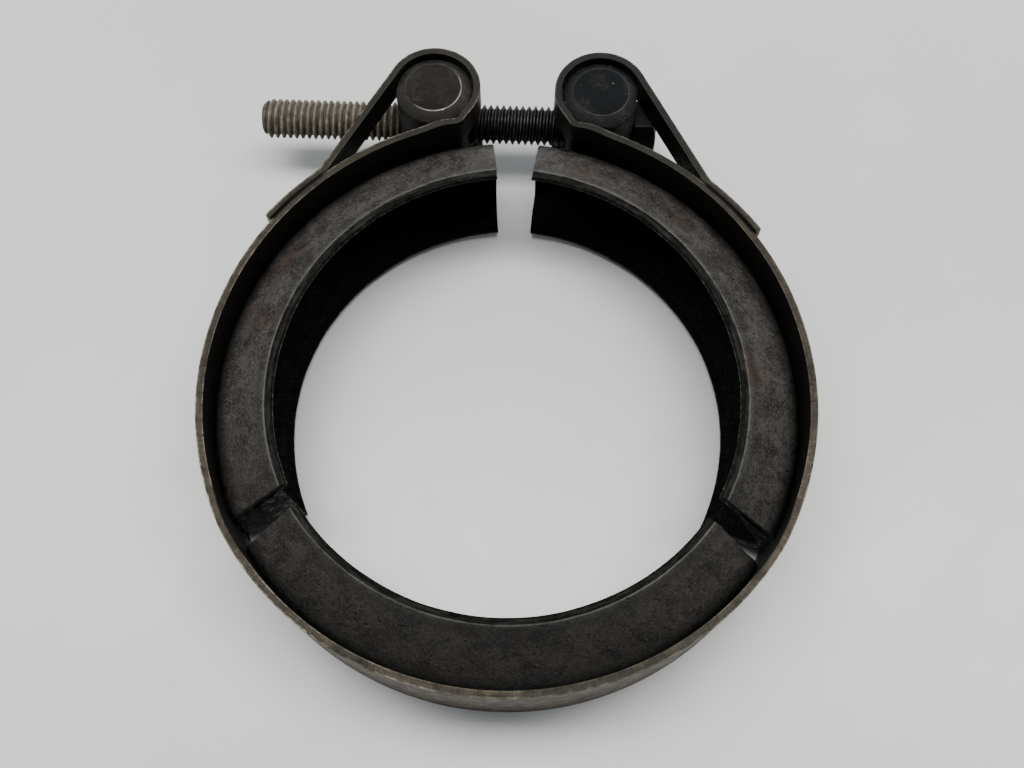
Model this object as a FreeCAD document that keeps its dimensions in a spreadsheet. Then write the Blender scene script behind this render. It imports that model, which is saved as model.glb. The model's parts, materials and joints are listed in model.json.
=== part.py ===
import FreeCAD
import Part
import Sketcher
import math
import os

# V band clamp: a spring-steel strap that is folded round two barrel trunnions,
# three roll-formed V channels welded inside it, and one M6 bolt that draws the
# trunnions together.
#
# Frame: the origin is the centre of the round bottom stretch of the ring, half
# way up the strap. Z is the axis of the pipe that is clamped, Y points from the
# ring to the bolt, and X runs along the bolt towards its head.

SIZES = {
    # strap
    "strap_radius": 42.75,
    "strap_thickness": 1.0,
    "strap_width": 19.05,
    "arm_swing": 3.0,
    # V channels
    "segment_angle": 110.5,
    "segment_gap": 5.0,
    "sheet_thickness": 1.5,
    "groove_depth": 7.9,
    "edge_inset": 0.65,
    "web_width": 7.6,
    "lip_land": 1.1,
    "lip_drop": 0.45,
    "bend_radius": 0.8,
    "weld_gap": 0.05,
    # trunnions and the loops that hold them
    "trunnion_spacing": 25.0,
    "trunnion_diameter": 11.5,
    "trunnion_inset": 0.125,
    "trunnion_bevel_width": 1.65,
    "trunnion_bevel_height": 1.05,
    "trunnion_play": 0.2,
    "loop_standoff": 0.3,
    "tail_start_angle": 42.0,
    "tail_length": 10.4,
    # window through which the bolt passes the loop
    "window_play": 0.18,
    "window_margin": 1.0,
    "window_foot": 2.0,
    "window_corner": 1.5,
    # bolt
    "bolt_diameter": 6.0,
    "bolt_length": 57.5,
    "bolt_point": 0.8,
    "head_across_flats": 8.0,
    "head_height": 3.5,
    "head_rim_inset": 0.2,
    "head_rim_angle": 30.0,
    "seat_depth": 0.45,
    "seat_play": 0.03,
    "thread_play": 0.06,
    "hole_play": 0.2,
}

doc = FreeCAD.newDocument("v_band_clamp")
sheet = doc.addObject("Spreadsheet::Sheet", "sizes")
for row, (alias, number) in enumerate(SIZES.items(), start=1):
    sheet.set(f"A{row}", alias)
    sheet.set(f"B{row}", str(number))
    sheet.setAlias(f"B{row}", alias)
doc.recompute()


def size(alias):
    """A driving dimension, as a plain number."""
    return float(getattr(sheet, alias))


def vec(x, y, z=0.0):
    return FreeCAD.Vector(x, y, z)


def polar(centre, radius, angle):
    """The point at a radius and an angle in radians about a centre."""
    return centre + vec(radius * math.cos(angle), radius * math.sin(angle))


def turned(v, angle):
    """A plane vector turned by an angle in radians, anticlockwise."""
    c, s = math.cos(angle), math.sin(angle)
    return vec(c * v.x - s * v.y, s * v.x + c * v.y)


def angle_of(v):
    return math.atan2(v.y, v.x)


def reach_circle(start, way, centre, radius):
    """Where a ray from start along the unit vector way first meets a circle."""
    to_centre = centre - start
    along = to_centre.dot(way)
    off = to_centre.dot(to_centre) - along**2
    return start + way * (along - math.sqrt(radius**2 - off))


# ---------------------------------------------------------------- sketches


def new_sketch(body, name, role):
    """A sketch on one of the body's own origin planes."""
    plane = next(f for f in body.Origin.OriginFeatures if f.Role == role)
    sketch = body.newObject("Sketcher::SketchObject", name)
    sketch.AttachmentSupport = [(plane, "")]
    sketch.MapMode = "FlatFace"
    return sketch


class Outline:
    """A closed outline of lines and arcs, drawn point by point into a sketch."""

    def __init__(self, sketch, start):
        self.sketch = sketch
        self.start = self.at = start
        self.ends = []

    def _add(self, geometry, first, last):
        index = self.sketch.addGeometry(geometry, False)
        if self.ends:
            before = self.ends[-1]
            self.sketch.addConstraint(
                Sketcher.Constraint("Coincident", before[0], before[2], index, first)
            )
        self.ends.append((index, first, last))
        return index

    def line(self, to):
        index = self._add(Part.LineSegment(self.at, to), 1, 2)
        self.at = to
        return index

    def arc(self, centre, to, clockwise=False):
        """An arc about a centre, from the pen to a point on the same circle."""
        radius = (self.at - centre).Length
        a, b = angle_of(self.at - centre), angle_of(to - centre)
        if clockwise:
            a, b = b, a
        while b <= a:
            b += 2 * math.pi
        circle = Part.Circle(centre, vec(0, 0, 1), radius)
        first, last = (2, 1) if clockwise else (1, 2)
        index = self._add(Part.ArcOfCircle(circle, a, b), first, last)
        self.at = to
        return index

    def close(self):
        """Joins the last end to the first."""
        first, last = self.ends[0], self.ends[-1]
        self.sketch.addConstraint(
            Sketcher.Constraint("Coincident", last[0], last[2], first[0], first[1])
        )


def bind(sketch, kind, places, value, expression):
    """A dimension of the sketch that follows the sheet."""
    index = sketch.addConstraint(Sketcher.Constraint(kind, *places, value))
    sketch.setExpression(f"Constraints[{index}]", expression)


def same_centre(sketch, arcs):
    """Keeps arcs concentric with the first of them."""
    for arc in arcs[1:]:
        sketch.addConstraint(Sketcher.Constraint("Coincident", arcs[0], 3, arc, 3))


# ------------------------------------------------- plan view of one arm

ring_outer = size("strap_radius")
ring_inner = ring_outer - size("strap_thickness")
ring_middle = (ring_outer + ring_inner) / 2
half_width = size("strap_width") / 2
head_corner = size("head_across_flats") / math.sqrt(3)
window_half = head_corner + size("window_play")

# the strap flexes in the gap between two channels, at this angle from -Y
flex_angle = math.radians((size("segment_angle") + size("segment_gap")) / 2)
flex = polar(vec(0, 0), ring_middle, flex_angle - math.pi / 2)
swing = math.radians(size("arm_swing"))
# the right arm is swung in about the flex, and its circle's centre goes along
arm = flex - turned(flex, swing)

loop_inner = size("trunnion_diameter") / 2 + size("trunnion_play")
loop_outer = loop_inner + size("strap_thickness")
loop_middle = (loop_inner + loop_outer) / 2
reach = ring_middle + loop_middle + size("loop_standoff")
trunnion_x = size("trunnion_spacing") / 2
trunnion = vec(trunnion_x, arm.y + math.sqrt(reach**2 - (trunnion_x - arm.x) ** 2))

# the strap leaves the ring on a short straight and then wraps the trunnion
up = (trunnion - arm).normalize()
leave = turned(up, -math.acos((ring_middle + loop_middle) / reach))

# its end comes back straight from the loop and lies on the ring as a tail
tail_outer = ring_outer + size("strap_thickness")
tail_middle = (ring_outer + tail_outer) / 2
tail_start = math.pi / 2 - math.radians(size("tail_start_angle"))
tail_end = tail_start - size("tail_length") / tail_middle
landing = polar(arm, tail_middle, tail_start) - trunnion
strand = turned(landing, -math.asin(loop_middle / landing.Length)).normalize()
loop_side = turned(strand, math.pi / 2)


def flex_point(radius):
    """Where the ring's circle meets the same circle of the swung arm."""
    middle = arm * 0.5
    way = (flex - middle).normalize()
    return middle + way * math.sqrt(radius**2 - middle.dot(middle))


# ------------------------------------------------------------------ band


def draw_strap_half(sketch):
    """The right half of the strap's edge: ring, loop and tail, and the loop's eye."""
    origin = vec(0, 0)
    edge = Outline(sketch, vec(0, -ring_outer))
    ring_arcs = [edge.arc(origin, flex_point(ring_outer))]
    arm_arcs = [edge.arc(arm, polar(arm, ring_outer, tail_end))]
    edge.line(polar(arm, tail_outer, tail_end))
    outer_side = trunnion + loop_side * loop_outer
    tail_arc = edge.arc(arm, reach_circle(outer_side, strand, arm, tail_outer))
    edge.line(outer_side)
    loop_arc = edge.arc(trunnion, trunnion - leave * loop_outer)
    edge.line(arm + leave * ring_inner)
    arm_arcs.append(edge.arc(arm, flex_point(ring_inner), clockwise=True))
    ring_arcs.append(edge.arc(origin, vec(0, -ring_inner), clockwise=True))
    edge.line(vec(0, -ring_outer))
    edge.close()

    inner_side = trunnion + loop_side * loop_inner
    eye = Outline(sketch, reach_circle(inner_side, strand, arm, ring_outer))
    eye_arc = eye.arc(arm, arm + leave * ring_outer)
    eye.line(trunnion - leave * loop_inner)
    wrap_arc = eye.arc(trunnion, inner_side, clockwise=True)
    eye.line(reach_circle(inner_side, strand, arm, ring_outer))
    eye.close()

    same_centre(sketch, ring_arcs)
    same_centre(sketch, arm_arcs + [tail_arc, eye_arc])
    same_centre(sketch, [loop_arc, wrap_arc])
    outer, inner = "sizes.strap_radius", "sizes.strap_radius - sizes.strap_thickness"
    loop = "sizes.trunnion_diameter / 2 + sizes.trunnion_play"
    bind(sketch, "Radius", [ring_arcs[0]], ring_outer, outer)
    bind(sketch, "Radius", [ring_arcs[1]], ring_inner, inner)
    bind(sketch, "Radius", [arm_arcs[0]], ring_outer, outer)
    bind(sketch, "Radius", [arm_arcs[1]], ring_inner, inner)
    bind(sketch, "Radius", [tail_arc], tail_outer, outer + " + sizes.strap_thickness")
    bind(sketch, "Radius", [wrap_arc], loop_inner, loop)
    bind(sketch, "Radius", [loop_arc], loop_outer, loop + " + sizes.strap_thickness")


def draw_window(sketch):
    """Plan view of the cut that lets the bolt through both walls of the loop.

    It takes in the straight strand down to the ring, the top of the loop, and
    the loop's inner wall down to just past the bolt.
    """
    clear = size("strap_thickness")
    floor = trunnion.y - size("bolt_diameter") / 2 - size("window_margin")
    left = trunnion.x - loop_outer - clear
    top = trunnion.y + loop_outer + clear
    right = trunnion + loop_side * (loop_outer + clear)
    # the cut ends square to the strand, a little above its landing on the ring
    inner_side = trunnion + loop_side * loop_inner
    landing_in = reach_circle(inner_side, strand, arm, ring_outer)
    foot_in = landing_in - strand * size("window_foot") - loop_side * (clear / 4)
    foot_out = foot_in + loop_side * (clear * 2)
    # this corner is inside the eye, below the trunnion's centre along the strand
    corner = vec(trunnion.x + (floor - trunnion.y) * strand.x / strand.y, floor)
    edge = Outline(sketch, vec(left, floor))
    edge.line(corner)
    edge.line(foot_in)
    edge.line(foot_out)
    edge.line(right)
    edge.line(vec(right.x, top))
    edge.line(vec(left, top))
    edge.line(vec(left, floor))
    edge.close()


def window_corner_edges(shape):
    """Names of the short straight edges across the strap in the windows' corners."""
    names = []
    for number, edge in enumerate(shape.Edges, start=1):
        heights = [abs(vertex.Z) for vertex in edge.Vertexes]
        level = all(abs(height - window_half) < 1e-6 for height in heights)
        if level and edge.Length < 2 * size("strap_thickness"):
            names.append(f"Edge{number}")
    return names


def make_band():
    """One strap with both its ends folded round the trunnions."""
    body = doc.addObject("PartDesign::Body", "band")
    body.Label = "band"
    outline = new_sketch(body, "strap_outline", "XY_Plane")
    draw_strap_half(outline)
    strap = body.newObject("PartDesign::Pad", "strap")
    strap.Profile = outline
    strap.SideType = "Symmetric"
    strap.setExpression("Length", "sizes.strap_width")
    doc.recompute()

    plan = new_sketch(body, "window_plan", "XY_Plane")
    draw_window(plan)
    window = body.newObject("PartDesign::Pocket", "bolt_window")
    window.Profile = plan
    window.SideType = "Symmetric"
    head_across_corners = "sizes.head_across_flats * 2 / sqrt(3)"
    window.setExpression("Length", head_across_corners + " + 2 * sizes.window_play")
    doc.recompute()

    mirror = body.newObject("PartDesign::Mirrored", "left_half")
    mirror.Originals = [strap, window]
    mirror.MirrorPlane = (outline, ["V_Axis"])
    body.Tip = mirror
    doc.recompute()

    rounding = body.newObject("PartDesign::Fillet", "window_corners")
    rounding.Base = (mirror, window_corner_edges(mirror.Shape))
    rounding.setExpression("Radius", "sizes.window_corner")
    return body


# ------------------------------------------------------------ V channels


def draw_channel(sketch):
    """Cross-section of a V channel: web against the strap, legs, turned-in lips.

    The legs meet the web in round bends inside the groove and in bevels outside.
    """
    sheet_thickness = size("sheet_thickness")
    web = ring_inner - size("weld_gap")
    ridge = vec(ring_inner - size("groove_depth"), half_width - size("edge_inset"))
    heel = vec(web, size("web_width") / 2)
    along = (heel - ridge).normalize()
    inward = turned(along, -math.pi / 2)
    lip = ridge - vec(size("lip_land"), size("lip_drop"))

    def under(x):
        """Height of the leg's underside at a radius."""
        base = ridge + inward * sheet_thickness
        return base.y + (x - base.x) * along.y / along.x

    web_inside = web - sheet_thickness
    crook = vec(web_inside, under(web_inside))
    half_turn = (math.pi / 2 - abs(angle_of(along))) / 2
    inner_bend = size("bend_radius")
    inner_cut = inner_bend * math.tan(half_turn)
    # outside, the bevel touches the middle of the bend
    outer_bend = inner_bend + sheet_thickness
    bevel = outer_bend * (math.tan(half_turn) - math.tan(half_turn / 2))

    def flipped(p):
        return vec(p.x, -p.y)

    heel_top = heel - along * bevel
    heel_side = heel - vec(0, bevel)
    crook_top = crook - along * inner_cut
    crook_side = crook - vec(0, inner_cut)
    crook_centre = crook_side - vec(inner_bend, 0)
    lip_under = vec(lip.x, under(lip.x))

    edge = Outline(sketch, flipped(heel_side))
    web_line = edge.line(heel_side)
    edge.line(heel_top)
    edge.line(ridge)
    edge.line(lip)
    edge.line(lip_under)
    edge.line(crook_top)
    crooks = [edge.arc(crook_centre, crook_side, clockwise=True)]
    edge.line(flipped(crook_side))
    crooks.append(edge.arc(flipped(crook_centre), flipped(crook_top), clockwise=True))
    edge.line(flipped(lip_under))
    edge.line(flipped(lip))
    edge.line(flipped(ridge))
    edge.line(flipped(heel_top))
    edge.line(flipped(heel_side))
    edge.close()

    reach_out = "sizes.strap_radius - sizes.strap_thickness - sizes.weld_gap"
    bind(sketch, "DistanceX", [-1, 1, web_line, 1], web, reach_out)
    for arc in crooks:
        bind(sketch, "Radius", [arc], inner_bend, "sizes.bend_radius")


def make_channel(name, centre, heading):
    """One V channel, with its middle at a heading from +X about a centre."""
    body = doc.addObject("PartDesign::Body", name)
    body.Label = name
    section = new_sketch(body, name + "_section", "XZ_Plane")
    draw_channel(section)
    ring = body.newObject("PartDesign::Revolution", name + "_ring")
    ring.Profile = section
    ring.ReferenceAxis = (section, ["V_Axis"])
    ring.Midplane = True
    ring.setExpression("Angle", "sizes.segment_angle")
    body.Placement = FreeCAD.Placement(centre, FreeCAD.Rotation(vec(0, 0, 1), heading))
    return body


# ------------------------------------------------------------- trunnions


def draw_barrel(sketch):
    """Half section of a barrel that is turned on its own axis, bevelled at both ends."""
    radius = size("trunnion_diameter") / 2
    face = radius - size("trunnion_bevel_width")
    top = half_width - size("trunnion_inset")
    shoulder = top - size("trunnion_bevel_height")
    edge = Outline(sketch, vec(0, -top))
    edge.line(vec(face, -top))
    edge.line(vec(radius, -shoulder))
    side = edge.line(vec(radius, shoulder))
    edge.line(vec(face, top))
    edge.line(vec(0, top))
    edge.line(vec(0, -top))
    edge.close()
    bind(sketch, "DistanceX", [-1, 1, side, 1], radius, "sizes.trunnion_diameter / 2")


def make_trunnion(name, side, bore, flat):
    """A barrel across the bolt. side is -1 at the left and 1 at the right."""
    body = doc.addObject("PartDesign::Body", name)
    body.Label = name
    section = new_sketch(body, name + "_section", "XZ_Plane")
    draw_barrel(section)
    barrel = body.newObject("PartDesign::Revolution", name + "_barrel")
    barrel.Profile = section
    barrel.ReferenceAxis = (section, ["V_Axis"])
    barrel.Angle = 360
    doc.recompute()

    hole = new_sketch(body, name + "_hole", "YZ_Plane")
    bore_radius = size("bolt_diameter") / 2 + size(bore)
    ring = hole.addGeometry(Part.Circle(vec(0, 0), vec(0, 0, 1), bore_radius), False)
    hole.addConstraint(Sketcher.Constraint("Coincident", ring, 3, -1, 1))
    bind(hole, "Radius", [ring], bore_radius, f"sizes.bolt_diameter / 2 + sizes.{bore}")
    cross = body.newObject("PartDesign::Pocket", name + "_cross_hole")
    cross.Profile = hole
    cross.SideType = "Symmetric"
    cross.setExpression("Length", "sizes.trunnion_diameter * 2")
    doc.recompute()
    if flat:
        seat = new_sketch(body, name + "_seat", "XY_Plane")
        near = size("trunnion_diameter") / 2 - size("seat_depth")
        far = size("trunnion_diameter")
        edge = Outline(seat, vec(near, -far))
        edge.line(vec(far, -far))
        edge.line(vec(far, far))
        edge.line(vec(near, far))
        seat_line = edge.line(vec(near, -far))
        edge.close()
        bind(
            seat,
            "DistanceX",
            [-1, 1, seat_line, 2],
            near,
            "sizes.trunnion_diameter / 2 - sizes.seat_depth",
        )
        cut = body.newObject("PartDesign::Pocket", name + "_head_seat")
        cut.Profile = seat
        cut.SideType = "Symmetric"
        cut.setExpression("Length", "sizes.strap_width * 2")
        doc.recompute()
    body.Placement = FreeCAD.Placement(vec(side * trunnion.x, trunnion.y), FreeCAD.Rotation())
    return body


# ------------------------------------------------------------------ bolt


def draw_head(sketch):
    """A hexagon with two flats level, so that it passes between the window's edges."""
    points = [polar(vec(0, 0), head_corner, math.radians(60 * n)) for n in range(6)]
    edge = Outline(sketch, points[0])
    sides = [edge.line(point) for point in points[1:] + points[:1]]
    edge.close()
    for one, other in zip(sides, sides[1:]):
        sketch.addConstraint(Sketcher.Constraint("Equal", one, other))
    sketch.addConstraint(Sketcher.Constraint("Horizontal", sides[1]))
    bind(
        sketch,
        "DistanceY",
        [-1, 1, sides[1], 1],
        size("head_across_flats") / 2,
        "sizes.head_across_flats / 2",
    )


def tip_edges(shape):
    """Names of the circular edges at the far end of the shank."""
    names = []
    for number, edge in enumerate(shape.Edges, start=1):
        if abs(edge.CenterOfMass.x + size("bolt_length")) < 1e-6:
            names.append(f"Edge{number}")
    return names


def make_bolt():
    """Hex-head bolt, drawn along +X from its seat under the head at the origin."""
    body = doc.addObject("PartDesign::Body", "bolt")
    body.Label = "bolt"
    hexagon = new_sketch(body, "head_hexagon", "YZ_Plane")
    draw_head(hexagon)
    head = body.newObject("PartDesign::Pad", "head")
    head.Profile = hexagon
    head.setExpression("Length", "sizes.head_height")
    doc.recompute()

    # the outer rim of the head is turned down to a cone
    rim = size("head_across_flats") / 2 - size("head_rim_inset")
    past_corner = 2 * (head_corner - rim)
    drop = past_corner * math.tan(math.radians(size("head_rim_angle")))
    top = size("head_height")
    cone = new_sketch(body, "head_rim", "XY_Plane")
    edge = Outline(cone, vec(top, rim))
    edge.line(vec(top - drop, rim + past_corner))
    edge.line(vec(top + drop, rim + past_corner))
    edge.line(vec(top + drop, rim))
    edge.line(vec(top, rim))
    edge.close()
    turned_rim = body.newObject("PartDesign::Groove", "turned_rim")
    turned_rim.Profile = cone
    turned_rim.ReferenceAxis = (cone, ["H_Axis"])
    turned_rim.Angle = 360
    doc.recompute()

    section = new_sketch(body, "shank_section", "YZ_Plane")
    radius = size("bolt_diameter") / 2
    circle = section.addGeometry(Part.Circle(vec(0, 0), vec(0, 0, 1), radius), False)
    section.addConstraint(Sketcher.Constraint("Coincident", circle, 3, -1, 1))
    bind(section, "Radius", [circle], radius, "sizes.bolt_diameter / 2")
    shank = body.newObject("PartDesign::Pad", "shank")
    shank.Profile = section
    shank.Reversed = True
    shank.setExpression("Length", "sizes.bolt_length")
    doc.recompute()

    point = body.newObject("PartDesign::Chamfer", "bolt_tip")
    point.Base = (shank, tip_edges(shank.Shape))
    point.setExpression("Size", "sizes.bolt_point")
    seat_x = trunnion.x + size("trunnion_diameter") / 2 - size("seat_depth")
    seat_x = seat_x + size("seat_play")
    body.Placement = FreeCAD.Placement(vec(seat_x, trunnion.y), FreeCAD.Rotation())
    return body


# -------------------------------------------------------------- assembly

arm_heading = size("segment_angle") + size("segment_gap") + size("arm_swing") - 90
pieces = [
    make_band(),
    make_channel("v_channel_bottom", vec(0, 0), -90),
    make_channel("v_channel_right", arm, arm_heading),
    make_channel("v_channel_left", vec(-arm.x, arm.y), 180 - arm_heading),
    make_trunnion("trunnion_left", -1, "thread_play", False),
    make_trunnion("trunnion_right", 1, "hole_play", True),
    make_bolt(),
]
doc.recompute()

failed = [o.Name for o in doc.Objects if "Invalid" in o.State or "Error" in o.State]
if failed:
    raise RuntimeError("failed objects: " + ", ".join(failed))
os.makedirs("parts", exist_ok=True)
for piece in pieces:
    if piece.Shape.isNull() or not piece.Shape.isValid():
        raise RuntimeError(piece.Label + " has no valid shape")
    piece.Shape.exportStep(f"parts/{piece.Label}.step")
    print(piece.Label, round(piece.Shape.Volume, 1), piece.Shape.BoundBox)
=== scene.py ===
import json
import math

import bmesh
import bpy
from mathutils import Matrix, Vector, noise


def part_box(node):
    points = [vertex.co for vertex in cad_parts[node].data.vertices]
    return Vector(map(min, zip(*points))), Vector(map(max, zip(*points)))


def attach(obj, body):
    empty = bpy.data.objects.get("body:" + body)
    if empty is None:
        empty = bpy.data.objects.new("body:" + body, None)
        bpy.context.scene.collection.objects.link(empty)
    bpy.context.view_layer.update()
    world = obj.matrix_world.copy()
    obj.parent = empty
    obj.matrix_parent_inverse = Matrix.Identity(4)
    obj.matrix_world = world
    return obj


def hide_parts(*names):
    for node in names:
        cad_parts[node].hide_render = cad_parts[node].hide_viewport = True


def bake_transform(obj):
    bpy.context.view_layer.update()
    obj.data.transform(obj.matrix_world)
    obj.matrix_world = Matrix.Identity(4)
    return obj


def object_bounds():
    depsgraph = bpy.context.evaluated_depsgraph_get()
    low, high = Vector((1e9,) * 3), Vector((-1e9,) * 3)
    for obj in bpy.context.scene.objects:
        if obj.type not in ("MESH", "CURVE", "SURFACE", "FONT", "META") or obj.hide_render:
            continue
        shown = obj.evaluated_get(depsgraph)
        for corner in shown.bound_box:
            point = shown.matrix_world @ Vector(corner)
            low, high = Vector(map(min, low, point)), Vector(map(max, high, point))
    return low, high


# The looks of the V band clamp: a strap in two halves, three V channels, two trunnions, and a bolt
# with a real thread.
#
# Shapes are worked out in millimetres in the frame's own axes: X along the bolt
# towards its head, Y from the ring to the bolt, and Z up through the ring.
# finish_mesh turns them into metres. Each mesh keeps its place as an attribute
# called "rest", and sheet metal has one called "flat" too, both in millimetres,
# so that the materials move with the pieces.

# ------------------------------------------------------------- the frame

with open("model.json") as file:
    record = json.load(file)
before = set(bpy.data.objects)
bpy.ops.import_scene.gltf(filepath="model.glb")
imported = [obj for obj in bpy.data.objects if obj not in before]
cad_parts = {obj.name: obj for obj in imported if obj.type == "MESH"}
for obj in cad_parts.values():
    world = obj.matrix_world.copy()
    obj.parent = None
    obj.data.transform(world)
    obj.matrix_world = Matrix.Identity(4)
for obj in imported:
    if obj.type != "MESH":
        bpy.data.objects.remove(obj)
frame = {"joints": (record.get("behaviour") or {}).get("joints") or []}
cad_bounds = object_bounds()
MM = 0.001
joints = {joint["name"]: joint for joint in frame["joints"]}


def mm(point):
    """A point of the frame, in metres, as a vector in millimetres."""
    return Vector(point) / MM


def mm_box(node):
    """Lowest and highest corner of a node of the frame, in millimetres."""
    low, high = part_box(node)
    return mm(low), mm(high)


band_low, band_high = mm_box("band")
trunnion_low, trunnion_high = mm_box("trunnion_left")
half_width = band_high.z
ring_outer = -band_low.y
flex = mm(joints["right_arm_flex"]["pos_m"]).xy
trunnion = mm(joints["right_trunnion_pivot"]["pos_m"]).xy
trunnion_radius = (trunnion_high.y - trunnion_low.y) / 2
trunnion_half = trunnion_high.z
seat_x = mm_box("trunnion_right")[1].x
tip_x = mm_box("bolt")[0].x

# strap, in millimetres
STRAP = 1.0
EDGE_ROUND = 0.17
LOOP_PLAY = 0.2
SWING = math.radians(3.0)
TAIL_START = math.radians(42.0)
TAIL_END = math.radians(55.78)
TAIL_GAP = 0.02
TAIL_LIFT = 0.16
LANDING_BEND = 3.0
WINDOW_HALF = 4.8
WINDOW_CORNER = 1.5
WINDOW_DROP = 4.0
WINDOW_EASE = 0.6  # the bent feet of the loops need a little more room round the thread
WINDOW_MARGIN = 2.6
WELDS = (0.0, 13.0, 26.0, 60.0, 76.0, 92.0)  # lengths along each half of the strap
WELD_RADIUS = 1.9
WELD_DEPTH = 0.14
KINK_BELLY = 0.45
KINK_PINCH = 0.16

# V channels
CHANNEL_ANGLE = math.radians(110.5)
CHANNEL_GAP = math.radians(5.0)
SHEET = 1.5
GROOVE_DEPTH = 7.9
EDGE_INSET = 0.65
WEB_WIDTH = 7.6
LIP_LAND = 1.1
LIP_DROP = 0.45
INNER_BEND = 0.8
RIDGE_ROUND = 0.35
LIP_ROUND = 0.22
WELD_GAP = 0.05
GAP_WEAR = 0.35  # the ends beside the two lower gaps are worn back

# trunnions and bolt
BEVEL_WIDTH = 1.65
BEVEL_HEIGHT = 1.05
BOLT_RADIUS = 3.0
THREAD_PLAY = 0.06
HOLE_PLAY = 0.2
PITCH = 1.0
THREAD_DEPTH = 0.61
CREST_SHARE = 0.16
ROOT_SHARE = 0.2
TIP_CHAMFER = 0.8
HEAD_FLATS = 8.0
HEAD_HEIGHT = 3.5
HEAD_RIM_INSET = 0.2
HEAD_RIM_ANGLE = math.radians(30)
SEAT_PLAY = 0.03


def turned(v, angle):
    """A plane vector turned anticlockwise."""
    return Matrix.Rotation(angle, 2) @ v


def polar(centre, radius, angle):
    """The plane point at a radius and an angle about a centre."""
    return centre + Vector((math.cos(angle), math.sin(angle))) * radius


def angle_of(v):
    return math.atan2(v.y, v.x)


def smooth(t):
    """A soft step from 0 to 1."""
    t = min(max(t, 0.0), 1.0)
    return t * t * (3 - 2 * t)


# --------------------------------------------------------- mesh building


def store(mesh, name, values):
    """Keeps a vector for each point of a mesh under a name that materials can read."""
    layer = mesh.attributes.new(name, "FLOAT_VECTOR", "POINT")
    layer.data.foreach_set("vector", [c for value in values for c in value])


def finish_mesh(name, bm, material, flat=None, sharp=35.0):
    """Makes an object of a bmesh in millimetres, with its rest place as an attribute."""
    bmesh.ops.recalc_face_normals(bm, faces=bm.faces)
    mesh = bpy.data.meshes.new(name)
    bm.to_mesh(mesh)
    bm.free()
    store(mesh, "rest", [v.co for v in mesh.vertices])
    if flat:
        store(mesh, "flat", flat)
    mesh.transform(Matrix.Scale(MM, 4))
    mesh.shade_smooth()
    mesh.set_sharp_from_angle(angle=math.radians(sharp))
    mesh.materials.append(material)
    obj = bpy.data.objects.new(name, mesh)
    bpy.context.scene.collection.objects.link(obj)
    return obj


def cut(obj, cutters):
    """Cuts other meshes out of an object and takes them away."""
    for cutter in cutters:
        modifier = obj.modifiers.new("cut", "BOOLEAN")
        modifier.object = cutter
        modifier.operation = "DIFFERENCE"
        modifier.solver = "EXACT"
    bpy.context.view_layer.update()
    graph = bpy.context.evaluated_depsgraph_get()
    mesh = bpy.data.meshes.new_from_object(obj.evaluated_get(graph))
    obj.modifiers.clear()
    obj.data = mesh
    # the boolean leaves the places of new points empty, so all are stored again
    if "rest" in mesh.attributes:
        mesh.attributes.remove(mesh.attributes["rest"])
    store(mesh, "rest", [v.co / MM for v in mesh.vertices])
    for cutter in cutters:
        bpy.data.objects.remove(cutter)
    mesh.set_sharp_from_angle(angle=math.radians(35))
    return obj


def join_rings(bm, rings):
    """Faces between closed rings of vertices; a ring may be one vertex repeated."""
    for one, two in zip(rings, rings[1:]):
        for i in range(len(one)):
            j = (i + 1) % len(one)
            corners = list(dict.fromkeys([one[i], one[j], two[j], two[i]]))
            if len(corners) > 2:
                bm.faces.new(corners)


# ------------------------------------------------- plan view of one arm

ring_inner = ring_outer - STRAP
ring_middle = ring_outer - STRAP / 2
arm = flex - turned(flex, SWING)
loop_middle = trunnion_radius + LOOP_PLAY + STRAP / 2
up = trunnion - arm
leave = turned(up.normalized(), -math.acos((ring_middle + loop_middle) / up.length))
tail_middle = ring_outer + STRAP / 2 + TAIL_GAP
landing = polar(arm, tail_middle, math.pi / 2 - TAIL_START) - trunnion
strand = turned(landing, -math.asin(loop_middle / landing.length)).normalized()
loop_side = turned(strand, math.pi / 2)


class Path:
    """A path in plan view: points with their lengths and their right-hand sides.

    On the strap, the right-hand side looks out of the ring at first, then at the
    trunnion from the loop, and at the ring from the tail.
    """

    def __init__(self, start, heading):
        self.at = start
        self.heading = heading
        self.points = [(0.0, start.copy(), turned(heading, -math.pi / 2))]
        self.length = 0.0
        self.marks = {}

    def line(self, distance, step):
        """Goes straight on for a distance."""
        self.arc(distance, 0.0, step)

    def arc(self, distance, turn, step):
        """Goes on for a distance while turning anticlockwise by an angle."""
        count = max(1, round(distance / step))
        for i in range(1, count + 1):
            share = i / count
            part = turn * share
            if abs(turn) > 1e-9:
                radius = distance / turn
                left = turned(self.heading, math.pi / 2)
                centre = self.at + left * radius
                place = centre + turned(self.at - centre, part)
            else:
                place = self.at + self.heading * (distance * share)
            side = turned(turned(self.heading, part), -math.pi / 2)
            self.points.append((self.length + distance * share, place, side))
        self.length += distance
        self.at = place
        self.heading = turned(self.heading, turn)


def turn_between(a, b, anticlockwise):
    """Angle through which one direction turns to reach another, the given way round."""
    angle = (angle_of(b) - angle_of(a)) % (2 * math.pi)
    return angle if anticlockwise else angle - 2 * math.pi


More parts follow.
